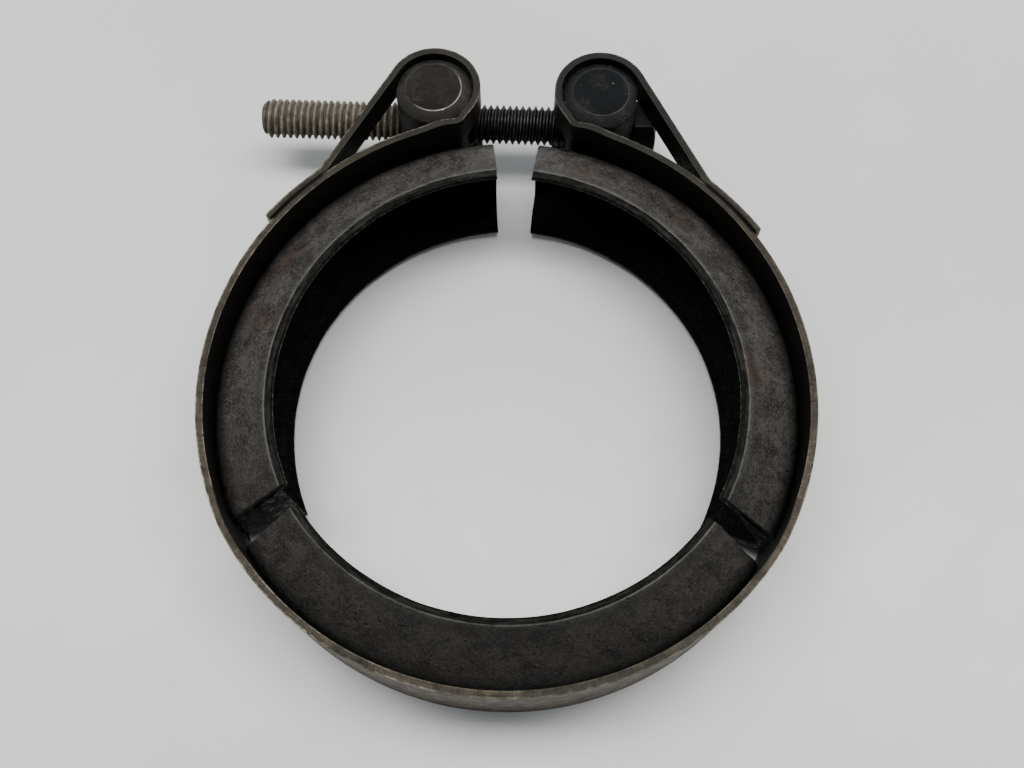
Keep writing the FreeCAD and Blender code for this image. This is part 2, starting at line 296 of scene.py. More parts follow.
def right_strap_path():
    """Middle line of the strap's right half, from the bottom to the end of its tail."""
    ring_step, straight_step, loop_step, bend_step, tail_step = 0.8, 0.3, 0.32, 0.15, 0.5
    path = Path(Vector((0, -ring_middle)), Vector((1, 0)))
    flex_turn = angle_of(flex) + math.pi / 2
    path.arc(ring_middle * flex_turn, flex_turn, ring_step)
    path.marks["flex"] = path.length
    path.heading = turned((flex - arm).normalized(), math.pi / 2)
    ring_turn = angle_of(leave) - angle_of(flex - arm)
    path.arc(ring_middle * ring_turn, ring_turn, ring_step)
    loop_start = trunnion - leave * loop_middle
    path.line((loop_start - path.at).length, straight_step)
    wrap = turn_between(-leave, loop_side, False)
    path.marks["loop"] = path.length
    path.arc(loop_middle * -wrap, wrap, loop_step)
    # the strand bends onto the ring
    onto = Vector((math.cos(TAIL_START), -math.sin(TAIL_START)))
    bend = turn_between(path.heading, onto, True)
    corner = polar(arm, tail_middle, math.pi / 2 - TAIL_START)
    cutback = LANDING_BEND * math.tan(bend / 2)
    path.line((corner - path.at).length - cutback, straight_step)
    path.arc(LANDING_BEND * bend, bend, bend_step)
    path.marks["landed"] = path.length
    # the tail follows the ring
    now = angle_of(path.at - arm)
    path.heading = turned((path.at - arm).normalized(), -math.pi / 2)
    end = math.pi / 2 - TAIL_END
    path.arc(tail_middle * (now - end), end - now, tail_step)
    return path


strap_path = right_strap_path()


def place_at(s):
    """Plan position and right-hand side of the strap's middle line at a length."""
    points = strap_path.points
    low, high = 0, len(points) - 1
    while high - low > 1:
        middle = (low + high) // 2
        if points[middle][0] <= s:
            low = middle
        else:
            high = middle
    s0, p0, side0 = points[low]
    s1, p1, side1 = points[high]
    t = (s - s0) / (s1 - s0) if s1 > s0 else 0.0
    return p0.lerp(p1, t), side0.lerp(side1, t).normalized()


def window_span():
    """Where along the strap the window begins and ends."""
    floor_y = trunnion.y - WINDOW_DROP - WINDOW_EASE
    foot = strap_path.marks["loop"] - 8
    begin = next(s for s, p, side in strap_path.points if s > foot and p.y > floor_y)
    return begin, strap_path.marks["landed"] - WINDOW_MARGIN


# ------------------------------------------------------------------ band


def strap_rows():
    """Lengths at which the strap is divided, and where its window begins and ends."""
    begin, end = window_span()
    stops = [s for s, p, side in strap_path.points]
    corner = [WINDOW_CORNER * (1 - math.cos(math.radians(a))) for a in range(15, 91, 15)]
    extra = [begin] + [begin + c for c in corner] + [end] + [end - c for c in corner]
    closest = 0.14
    stops = [s for s in stops if all(abs(s - e) > closest for e in extra)]
    return sorted(stops + extra), begin, end


def window_edge(s, begin, end):
    """Half height of the window at a length along the strap, rounded at its ends."""
    inside = min(s - begin, end - s)
    if inside >= WINDOW_CORNER:
        return WINDOW_HALF
    inside = max(inside, 0.0)
    fall = WINDOW_CORNER - inside
    return WINDOW_HALF - WINDOW_CORNER + math.sqrt(WINDOW_CORNER**2 - fall**2)


def make_flat_strap():
    """The strap's right half laid flat: x along it, y through it, z across it."""
    rows, begin, end = strap_rows()
    side_count, middle_count = 8, 10
    straight = WINDOW_HALF - WINDOW_CORNER
    far_from_window = WINDOW_HALF - 1.2
    bm = bmesh.new()

    def column_heights(s):
        """Heights of the points above, in and below the window's place."""
        if begin <= s <= end:
            edge = window_edge(s, begin, end)
        else:
            near = min(abs(s - begin), abs(s - end))
            edge = straight + (far_from_window - straight) * smooth(near / 4)
        outer = [edge + (half_width - edge) * i / side_count for i in range(side_count + 1)]
        inner = [edge * (1 - 2 * i / middle_count) for i in range(1, middle_count)]
        return outer[::-1], inner, [-z for z in outer]

    layers = []
    for depth in (-STRAP / 2, STRAP / 2):
        layer = []
        for s in rows:
            upper, middle, lower = column_heights(s)
            if begin < s < end:
                middle = [None] * len(middle)
            heights = upper + middle + lower
            layer.append([None if z is None else bm.verts.new((s, depth, z)) for z in heights])
        layers.append(layer)
    for layer in layers:
        for one, two in zip(layer, layer[1:]):
            for i in range(len(one) - 1):
                corners = [one[i], one[i + 1], two[i + 1], two[i]]
                if all(corners):
                    bm.faces.new(corners)
    # walls join the two faces, except where this half meets the other one
    twin = {}
    for inner, outer in zip(*layers):
        for a, b in zip(inner, outer):
            if a is not None:
                twin[a] = b
    rims = [e for e in bm.edges if len(e.link_faces) == 1 and e.verts[0] in twin]
    for edge in rims:
        a, b = edge.verts
        at_seam = a.co.x < 1e-6 and b.co.x < 1e-6
        if not at_seam:
            bm.faces.new([a, b, twin[b], twin[a]])
    corner_angle = math.radians(60)
    inner_edges = [e for e in bm.edges if len(e.link_faces) == 2]
    sharp = [e for e in inner_edges if e.calc_face_angle(0.0) > corner_angle]
    bmesh.ops.recalc_face_normals(bm, faces=bm.faces)
    bmesh.ops.bevel(
        bm,
        geom=sharp,
        offset=EDGE_ROUND,
        segments=2,
        profile=0.6,
        affect="EDGES",
        clamp_overlap=True,
    )
    return bm


def weld_dent(s, z, depth):
    """How far the spot welds press the strap's outer face in."""
    if depth < 0.3 * STRAP:
        return 0.0
    nearest = min(math.hypot(s - place, z) for place in WELDS)
    return WELD_DEPTH * (1 - smooth(nearest / WELD_RADIUS))


def hump(s, centre, width):
    """A soft hump, 1 high."""
    return math.exp(-(((s - centre) / width) ** 2))


def foot_kink(s):
    """Sideways offset of the strap where the ring turns up into the loop."""
    past = s - strap_path.marks["loop"]
    return KINK_PINCH * hump(past, -1.6, 1.6) - KINK_BELLY * hump(past, 1.4, 1.1)


def make_band_half(name, mirror):
    """One half of the strap, from the bottom of the ring to the end of its tail."""
    bm = make_flat_strap()
    landed = strap_path.marks["landed"]
    tail_length = strap_path.length - landed
    flat = []
    for vert in bm.verts:
        s, depth, z = vert.co
        flat.append((s, depth, z))
        place, side = place_at(s)
        # slow waves in the sheet, which end before the loop
        calm = 1 - smooth((s - 88) / 6)
        wave = noise.noise(Vector((s * 0.07, z * 0.09, 3.1))) * 0.05 * calm
        lift = TAIL_LIFT * smooth((s - landed) / tail_length)
        through = depth - weld_dent(s, z, depth) - lift
        along = place + side * (through + wave + foot_kink(s))
        vert.co = Vector((-along.x if mirror else along.x, along.y, z))
    return finish_mesh(name, bm, strap_material, flat)


# -------------------------------------------------------------- channels


def fillet(points):
    """A closed outline with rounded corners; each point is (x, y, radius, steps)."""
    outline = []
    count = len(points)
    for i, (x, y, radius, steps) in enumerate(points):
        here = Vector((x, y))
        before = Vector(points[i - 1][:2])
        after = Vector(points[(i + 1) % count][:2])
        if radius <= 0:
            outline.append(here)
            continue
        a, b = (before - here).normalized(), (after - here).normalized()
        half = a.angle(b) / 2
        cutback = radius / math.tan(half)
        centre = here + (a + b).normalized() * (radius / math.sin(half))
        first, last = here + a * cutback - centre, here + b * cutback - centre
        sweep = first.angle_signed(last)
        for step in range(steps + 1):
            outline.append(centre + turned(first, -sweep * step / steps))
    return outline


def divide(outline, longest):
    """Adds points so that no stretch of a closed outline is too long."""
    result = []
    for a, b in zip(outline, outline[1:] + outline[:1]):
        count = max(1, math.ceil((b - a).length / longest))
        result += [a.lerp(b, i / count) for i in range(count)]
    return result


def channel_outline():
    """Cross-section of a V channel: x is the radius and y the height."""
    web = ring_inner - WELD_GAP
    ridge = Vector((ring_inner - GROOVE_DEPTH, half_width - EDGE_INSET))
    heel = Vector((web, WEB_WIDTH / 2))
    along = (heel - ridge).normalized()
    inward = turned(along, -math.pi / 2)
    base = ridge + inward * SHEET

    def under(x):
        """Height of the leg's inner face at a radius."""
        return base.y + (x - base.x) * along.y / along.x

    lip_x, lip_y = ridge.x - LIP_LAND, ridge.y - LIP_DROP
    web_inside = web - SHEET
    upper = [
        (web, heel.y, INNER_BEND + SHEET, 6),
        (ridge.x, ridge.y, RIDGE_ROUND, 3),
        (lip_x, lip_y, LIP_ROUND, 3),
        (lip_x, under(lip_x), LIP_ROUND, 3),
        (web_inside, under(web_inside), INNER_BEND, 5),
    ]
    lower = [(x, -y, radius, steps) for x, y, radius, steps in reversed(upper)]
    return divide(fillet(upper + lower), 0.9)


def make_channel(name, centre, heading, recess):
    """A V channel swept round its centre, with slightly uneven sheared ends.

    recess is how far its two ends are worn back, in the order of the sweep.
    """
    outline = channel_outline()
    steps = 120
    end_share = 0.03
    bm = bmesh.new()
    rows, flat = [], []
    for i in range(steps + 1):
        share = i / steps * 2 - 1
        end = max(0.0, (abs(share) - 1 + end_share) / end_share)
        way, worn = (1, recess[1]) if share > 0 else (-1, recess[0])
        row = []
        for p in outline:
            seed = Vector((p.x * 0.9, p.y * 0.9, heading * 7 + share))
            shear = noise.noise(seed) * 0.18 - 0.1 - worn
            angle = share * CHANNEL_ANGLE / 2 + end * shear / p.x * way
            ripple = noise.noise(Vector((angle * 9, p.x * 0.5, p.y * 0.5 + heading)))
            radius = p.x + ripple * 0.05
            spot = polar(centre, radius, heading + angle)
            row.append(bm.verts.new((spot.x, spot.y, p.y + ripple * 0.04)))
            flat.append((angle * p.x, p.x, p.y))
        rows.append(row)
    join_rings(bm, rows)
    for row in (rows[0], rows[-1]):
        bmesh.ops.triangulate(bm, faces=[bm.faces.new(row)])
    return finish_mesh(name, bm, channel_material, flat, sharp=50)


# ------------------------------------------------------------- trunnions


def revolve(profile, steps, centre, axis="z"):
    """A solid turned from (radius, height) points about an axis through a centre."""
    bm = bmesh.new()
    rows = []
    for radius, height in profile:
        if radius < 1e-6:
            rows.append([bm.verts.new((0, 0, height))] * steps)
            continue
        ring = []
        for i in range(steps):
            angle = 2 * math.pi * i / steps
            ring.append(bm.verts.new((radius * math.cos(angle), radius * math.sin(angle), height)))
        rows.append(ring)
    join_rings(bm, rows)
    if axis == "x":
        bmesh.ops.rotate(bm, verts=bm.verts, matrix=Matrix.Rotation(math.pi / 2, 3, "Y"))
    bmesh.ops.translate(bm, verts=bm.verts, vec=centre)
    return bm


def make_trunnion(name, side, bore, material):
    """A barrel with chamfered ends and a cross hole, and a flat for the bolt's head."""
    face = trunnion_radius - BEVEL_WIDTH
    top = trunnion_half
    shoulder = top - BEVEL_HEIGHT
    half = [
        (0.0, top - 0.06),
        (1.4, top - 0.05),
        (2.8, top - 0.02),
        (face - 0.5, top),
        (face - 0.12, top - 0.005),
        (face + 0.1, top - 0.08),
        (face + BEVEL_WIDTH / 2, top - BEVEL_HEIGHT / 2 - 0.02),
        (trunnion_radius - 0.2, shoulder + 0.1),
        (trunnion_radius - 0.05, shoulder - 0.03),
        (trunnion_radius, shoulder - 0.22),
        (trunnion_radius, top * 0.5),
        (trunnion_radius, 0.6),
    ]
    profile = half + [(radius, -height) for radius, height in reversed(half)]
    centre = Vector((side * trunnion.x, trunnion.y, 0))
    obj = finish_mesh(name, revolve(profile, 96, centre), material)
    reach = 12  # past both sides of the barrel
    tool = [(0, -reach), (bore, -reach), (bore, reach), (0, reach)]
    cutters = [finish_mesh("bore", revolve(tool, 48, centre, "x"), material)]
    if side > 0:
        depth = 4
        bm = bmesh.new()
        bmesh.ops.create_cube(bm, size=1.0)
        bmesh.ops.scale(bm, vec=(depth, 20, 30), verts=bm.verts)
        bmesh.ops.translate(bm, vec=(seat_x + depth / 2, trunnion.y, 0), verts=bm.verts)
        cutters.append(finish_mesh("flat", bm, material))
    return cut(obj, cutters)


# ------------------------------------------------------------------ bolt


def bolt_point(x, radius, angle):
    """A point about the bolt's axis."""
    return x, trunnion.y + radius * math.cos(angle), radius * math.sin(angle)


def thread_radius(share):
    """Radius of the thread at a share of its pitch: crest, flank, root, flank."""
    flank = (1 - CREST_SHARE - ROOT_SHARE) / 2
    if share < CREST_SHARE:
        return BOLT_RADIUS - 0.015
    if share < CREST_SHARE + flank:
        return BOLT_RADIUS - THREAD_DEPTH * (share - CREST_SHARE) / flank
    if share < CREST_SHARE + flank + ROOT_SHARE:
        return BOLT_RADIUS - THREAD_DEPTH
    return BOLT_RADIUS - THREAD_DEPTH * (1 - share) / flank


def make_thread():
    """The whole threaded shank, a continuous right-hand helix along X."""
    start, end = tip_x, seat_x + 0.6
    around = 40
    stations = [0.0, 0.08, 0.16, 0.32, 0.48, 0.58, 0.68, 0.84]
    turns = int((end - start) / PITCH) + 3
    bm = bmesh.new()
    rows = []
    for turn in range(turns):
        for share in stations:
            ring = []
            for i in range(around):
                x = start - 1.5 * PITCH + (turn + share + i / around) * PITCH
                point = BOLT_RADIUS - TIP_CHAMFER + max(x - start, 0.0)
                wear = noise.noise(Vector((x * 0.9, i * 0.3, 1.0))) * 0.03
                radius = min(thread_radius(share), point) + wear
                ring.append(bm.verts.new(bolt_point(x, radius, -2 * math.pi * i / around)))
            rows.append(ring)
    # the end of each row joins the start of the row one turn further on
    per_turn = len(stations)
    for m in range(len(rows) - per_turn - 1):
        one = rows[m] + rows[m + per_turn][:1]
        two = rows[m + 1] + rows[m + 1 + per_turn][:1]
        for i in range(around):
            bm.faces.new([one[i], one[i + 1], two[i + 1], two[i]])
    # square ends, closed with flat faces
    for x, outward in ((start, -1), (end, 1)):
        geometry = bm.verts[:] + bm.edges[:] + bm.faces[:]
        result = bmesh.ops.bisect_plane(
            bm,
            geom=geometry,
            plane_co=(x, 0, 0),
            plane_no=(outward, 0, 0),
            clear_outer=True,
        )
        edges = [e for e in result["geom_cut"] if isinstance(e, bmesh.types.BMEdge)]
        bmesh.ops.holes_fill(bm, edges=edges)
    loose = [v for v in bm.verts if not v.link_faces]
    bmesh.ops.delete(bm, geom=loose, context="VERTS")
    return finish_mesh("bolt_thread", bm, bolt_material, sharp=28)


def hex_radius(angle):
    """Distance to a softly rounded hexagon with two flats level."""
    crispness = 90
    flats = [math.cos(angle - math.radians(60 * k + 90)) for k in range(6)]
    total = sum(max(flat, 0.0) ** crispness for flat in flats)
    return HEAD_FLATS / 2 / total ** (1 / crispness)


def make_head():
    """Hexagon head with its rim turned to a cone, and a shallow dish in its top."""
    around = 144
    bm = bmesh.new()
    rim = HEAD_FLATS / 2 - HEAD_RIM_INSET
    x0 = seat_x + SEAT_PLAY
    top = x0 + HEAD_HEIGHT
    # outline of each ring, its radius or its share of the hexagon, and its place
    layout = [
        ("disc", 0.0, x0),
        ("disc", rim - 0.1, x0),
        ("hex", 0.95, x0 + 0.05),
        ("hex", 1.0, x0 + 0.25),
        ("hex", 1.0, x0 + 1.2),
        ("cone", 1.0, top),
        ("cone", 0.975, top),
        ("disc", rim, top - 0.02),
        ("disc", rim - 0.25, top),
        ("disc", 2.6, top),
        ("disc", 2.3, top - 0.12),
        ("disc", 1.2, top - 0.16),
        ("disc", 0.0, top - 0.16),
    ]
    rows = []
    for kind, amount, x in layout:
        if amount < 1e-6:
            rows.append([bm.verts.new((x, trunnion.y, 0))] * around)
            continue
        row = []
        for i in range(around):
            angle = 2 * math.pi * i / around
            radius = amount if kind == "disc" else hex_radius(angle) * amount
            place = x
            if kind == "cone":
                place = x - max(0.0, radius - rim) * math.tan(HEAD_RIM_ANGLE) - 0.02
            row.append(bm.verts.new(bolt_point(place, radius, angle)))
        rows.append(row)
    join_rings(bm, rows)
    return finish_mesh("bolt_head", bm, head_material, sharp=24)


# -------------------------------------------------------------- materials


class Surface:
    """A node material, built a step at a time."""

    def __init__(self, name, metallic, roughness):
        self.material = bpy.data.materials.new(name)
        self.material.use_nodes = True
        self.tree = self.material.node_tree
        self.shader = self.tree.nodes["Principled BSDF"]
        self.shader.inputs["Metallic"].default_value = metallic
        self.shader.inputs["Roughness"].default_value = roughness

    def node(self, kind, inputs=None, **settings):
        """A new node, with its settings made and its inputs fed."""
        made = self.tree.nodes.new(kind)
        for key, value in settings.items():
            setattr(made, key, value)
        for key, value in (inputs or {}).items():
            self.feed(made.inputs[key], value)
        return made

    def feed(self, socket, value):
        """Links a socket to another one, or gives it a constant."""
        if isinstance(value, bpy.types.NodeSocket):
            self.tree.links.new(value, socket)
        else:
            socket.default_value = value

    def place(self, name, stretch=(1, 1, 1)):
        """A stored vector of each point, in millimetres, stretched."""
        vector = self.node("ShaderNodeAttribute", attribute_name=name).outputs["Vector"]
        if tuple(stretch) == (1, 1, 1):
            return vector
        made = self.node("ShaderNodeVectorMath", {0: vector, 1: stretch}, operation="MULTIPLY")
        return made.outputs["Vector"]

    def part(self, vector, axis):
        return self.node("ShaderNodeSeparateXYZ", {0: vector}).outputs[axis]

    def distance(self, vector, point):
        made = self.node("ShaderNodeVectorMath", {0: vector, 1: point}, operation="DISTANCE")
        return made.outputs["Value"]

    def noise(self, vector, scale, detail=4.0, roughness=0.55, warp=0.0):
        inputs = {"Vector": vector, "Scale": scale, "Detail": detail}
        inputs.update({"Roughness": roughness, "Distortion": warp})
        return self.node("ShaderNodeTexNoise", inputs).outputs["Fac"]

    def cells(self, vector, scale):
        made = self.node("ShaderNodeTexVoronoi", {"Vector": vector, "Scale": scale})
        return made.outputs["Distance"]

    def ramp(self, value, *stops):
        """Maps a value through (position, brightness or colour) stops."""
        made = self.node("ShaderNodeValToRGB", {"Fac": value})
        ramp = made.color_ramp
        while len(ramp.elements) < len(stops):
            ramp.elements.new(0.5)
        for element, (position, colour) in zip(ramp.elements, stops):
            element.position = position
            if not isinstance(colour, tuple):
                colour = (colour, colour, colour)
            element.color = (*colour, 1.0)
        return made.outputs["Color"]

    def math(self, operation, *values):
        """Does an operation on a value, or on each value in turn with the result so far."""
        if len(values) == 1:
            return self.node("ShaderNodeMath", {0: values[0]}, operation=operation).outputs[0]
        total, *others = values
        for value in others:
            made = self.node("ShaderNodeMath", {0: total, 1: value}, operation=operation)
            total = made.outputs[0]
        return total

    def times(self, *values):
        return self.math("MULTIPLY", *values)

    def plus(self, *values):
        return self.math("ADD", *values)

    def most(self, *values):
        return self.math("MAXIMUM", *values)

    def minus(self, value):
        return self.times(value, -1.0)

    def flip(self, value):
        """1 where a value is 0, and 0 where it is 1."""
        return self.math("SUBTRACT", 1.0, value)

    def between(self, value, zero_at, one_at):
        """Rises or falls from 0 to 1 between two limits."""
        inputs = {"Value": value, "From Min": zero_at, "From Max": one_at}
        return self.node("ShaderNodeMapRange", inputs).outputs["Result"]

    def above(self, value, limit, soft):
        """1 where a value is past a limit, rising softly."""
        return self.between(value, limit - soft, limit + soft)

    def band(self, value, low, high, soft):
        """1 where a value lies between two limits, falling off softly."""
        rise = self.above(value, low, soft)
        return self.times(rise, self.between(value, high + soft, high - soft))

    def mix(self, share, a, b):
        """Colour a where share is 0 and b where it is 1."""
        made = self.node("ShaderNodeMix", data_type="RGBA")
        self.feed(made.inputs["Factor"], share)
        for socket, value in ((made.inputs["A"], a), (made.inputs["B"], b)):
            colour = (*value, 1.0) if isinstance(value, tuple) else value
            self.feed(socket, colour)
        return made.outputs["Result"]

    def blend_value(self, share, a, b):
        """Value a where share is 0 and b where it is 1."""
        made = self.node("ShaderNodeMix", data_type="FLOAT")
        for socket, value in (("Factor", share), ("A", a), ("B", b)):
            self.feed(made.inputs[socket], value)
        return made.outputs["Result"]

    def finish(self, colour, roughness, height, depth, metallic=None):
        """Connects colour, roughness and a bump whose depth is in millimetres."""
        self.feed(self.shader.inputs["Base Color"], colour)
        self.feed(self.shader.inputs["Roughness"], roughness)
        if metallic is not None:
            self.feed(self.shader.inputs["Metallic"], metallic)
        bump = self.node(
            "ShaderNodeBump", {"Height": height, "Strength": 1.0, "Distance": depth * MM}
        )
        self.feed(self.shader.inputs["Normal"], bump.outputs["Normal"])
        return self.material


def strap_surface():
    """Heat-stained spring steel: brown and olive, with painted shade where it is hidden and bright
    corner lines that are part wear and part painted highlight.
    """
    s = Surface("strap_steel", 0.75, 0.45)
    rest, flat = s.place("rest"), s.place("flat")
    along, depth, across = (s.part(flat, axis) for axis in "XYZ")
    # past the foot of the loop the sheet's other face looks outward
    over = s.above(along, strap_path.marks["loop"] + 1.5, 0.5)
    facing = s.times(depth, s.flip(s.times(over, 2.0)))
    backing = s.minus(facing)
    tint = s.noise(rest, 0.09, 5, 0.6)
    colour = s.ramp(
        tint,
        (0.32, (0.020, 0.015, 0.009)),
        (0.46, (0.036, 0.026, 0.014)),
        (0.58, (0.052, 0.038, 0.020)),
        (0.72, (0.028, 0.018, 0.012)),
    )
    streaks = s.noise(s.place("flat", (0.12, 1, 3.2)), 1.0, 6, 0.65)
    colour = s.mix(s.ramp(streaks, (0.42, 0.0), (0.76, 0.6)), colour, (0.085, 0.066, 0.038))
    specks = s.noise(rest, 1.7, 5, 0.7)
    colour = s.mix(s.ramp(specks, (0.54, 0.0), (0.66, 0.8)), colour, (0.012, 0.009, 0.007))
    # warmer low down, and dark on the inner face and round the loops: soot with painted shade
    low = s.ramp(s.part(s.place("rest", (1, -0.01, 1)), "Y"), (0.08, 0.0), (0.34, 0.75))
    colour = s.mix(low, colour, (0.042, 0.027, 0.011))
    inner = s.above(backing, 0.36, 0.08)
    flecks = s.ramp(s.noise(rest, 2.4, 5, 0.75), (0.60, 0.0), (0.70, 0.6))
    soot_and_shade = s.mix(flecks, (0.010, 0.010, 0.009), (0.060, 0.048, 0.034))
    colour = s.mix(s.times(inner, 0.92), colour, soot_and_shade)
    # painted shade and soot: the loops are darkened
    loops = s.above(s.part(rest, "Y"), 30.0, 9.0)
    colour = s.mix(s.times(loops, 0.8), colour, (0.010, 0.010, 0.009))
    # the sheared edge has fine lines along it and scores across it
    height = s.math("ABSOLUTE", across)
    edge = s.above(height, half_width - 0.10, 0.05)
    scores = s.noise(s.place("flat", (3.0, 0.5, 0.2)), 1.0, 4, 0.7)
    lines = s.noise(s.place("flat", (0.08, 5.0, 0.2)), 1.0, 5, 0.65)
    patches = s.noise(rest, 0.16, 4, 0.6)
    dull_edge = s.mix(
        s.ramp(lines, (0.38, 0.0), (0.64, 1.0)), (0.012, 0.010, 0.008), (0.044, 0.037, 0.024)
    )
    dull_edge = s.mix(s.ramp(scores, (0.50, 0.0), (0.75, 0.45)), dull_edge, (0.10, 0.09, 0.065))
    dull_edge = s.mix(s.ramp(patches, (0.38, 0.6), (0.58, 0.0)), dull_edge, (0.010, 0.009, 0.007))
    colour = s.mix(edge, colour, dull_edge)
    # painted shade: at the loops the edge is dim, and more so on the right
    right = s.ramp(s.part(s.place("rest", (0.01, 1, 1)), "X"), (0.0, 0.6), (0.06, 0.96))
    colour = s.mix(s.times(loops, edge, right), colour, (0.008, 0.008, 0.007))
    # rubbed corners with a painted highlight on them: a strong line outside and a fainter one
    # inside
    rub_and_highlight = s.ramp(s.noise(rest, 1.1, 4, 0.65), (0.40, 0.0), (0.60, 1.0))
    # the painted highlight on the corners grows towards -X
    left = s.part(s.place("rest", (-0.01, 1, 1)), "X")
    rub_and_highlight = s.times(
        rub_and_highlight,
        s.ramp(patches, (0.38, 0.35), (0.62, 1.0)),
        s.ramp(left, (0.02, 0.38), (0.14, 0.80), (0.40, 1.0)),
    )
    near_edge = s.above(height, half_width - 0.20, 0.04)
    calm = s.math("SUBTRACT", 0.5, s.times(loops, 0.4))
    for inmost, outmost, strength in ((0.34, 0.47, 0.95), (-0.47, -0.36, calm)):
        corner = s.times(near_edge, s.band(facing, inmost, outmost, 0.04), rub_and_highlight, strength)
        colour = s.mix(corner, colour, (0.26, 0.235, 0.18))
    # painted shade: the seam between the ring and the tail that lies on it stays dark
    start = strap_path.marks["flex"] - ring_middle * angle_of(flex - arm)
    tail = [start + ring_middle * (math.pi / 2 - angle) for angle in (TAIL_END, TAIL_START)]
    under_tail = s.times(s.band(along, *tail, 0.5), s.above(facing, 0.22, 0.10))
    landed = s.above(along, strap_path.marks["landed"] - 0.6, 0.5)
    seam_shade = s.most(under_tail, s.times(landed, s.above(backing, 0.22, 0.10)))
    colour = s.mix(s.times(seam_shade, 0.95), colour, (0.003, 0.003, 0.003))
    # stain rings round the spot welds
    spot = s.node("ShaderNodeCombineXYZ", {"X": along, "Y": across}).outputs[0]
    rings = [s.band(s.distance(spot, (place, 0.0, 0.0)), 1.5, 2.6, 0.5) for place in WELDS]
    stains = s.times(s.most(*rings), s.above(depth, 0.2, 0.1))
    colour = s.mix(s.times(stains, 0.6), colour, (0.016, 0.018, 0.028))
    # near black on the inner face where it is bare between two channels, with grease clots low
    # down
    gap_at = strap_path.marks["flex"]
    bare = s.times(s.band(along, gap_at - 5.0, gap_at + 5.0, 1.5), inner)
    colour = s.mix(s.times(bare, 0.9), colour, (0.004, 0.004, 0.004))
    clots = s.noise(rest, 1.3, 6, 0.75)
    deep = s.above(s.minus(across), 3.5, 2.0)
    wet = s.times(bare, s.ramp(clots, (0.44, 0.0), (0.54, 1.0)), deep)
    colour = s.mix(wet, colour, (0.008, 0.007, 0.006))
    dry = s.ramp(s.noise(rest, 0.6, 6, 0.65), (0.3, 0.34), (0.7, 0.66))
    dry = s.blend_value(s.most(seam_shade, bare), dry, 0.85)
    roughness = s.blend_value(wet, dry, 0.10)
    relief = s.plus(
        s.noise(s.place("flat", (0.5, 1, 6.0)), 1.0, 7, 0.7),
        s.times(specks, 1.2),
        s.times(scores, edge, 0.8),
        s.times(lines, edge, 1.2),
        s.times(clots, wet, 9.0),
    )
    return s.finish(colour, roughness, relief, 0.035)


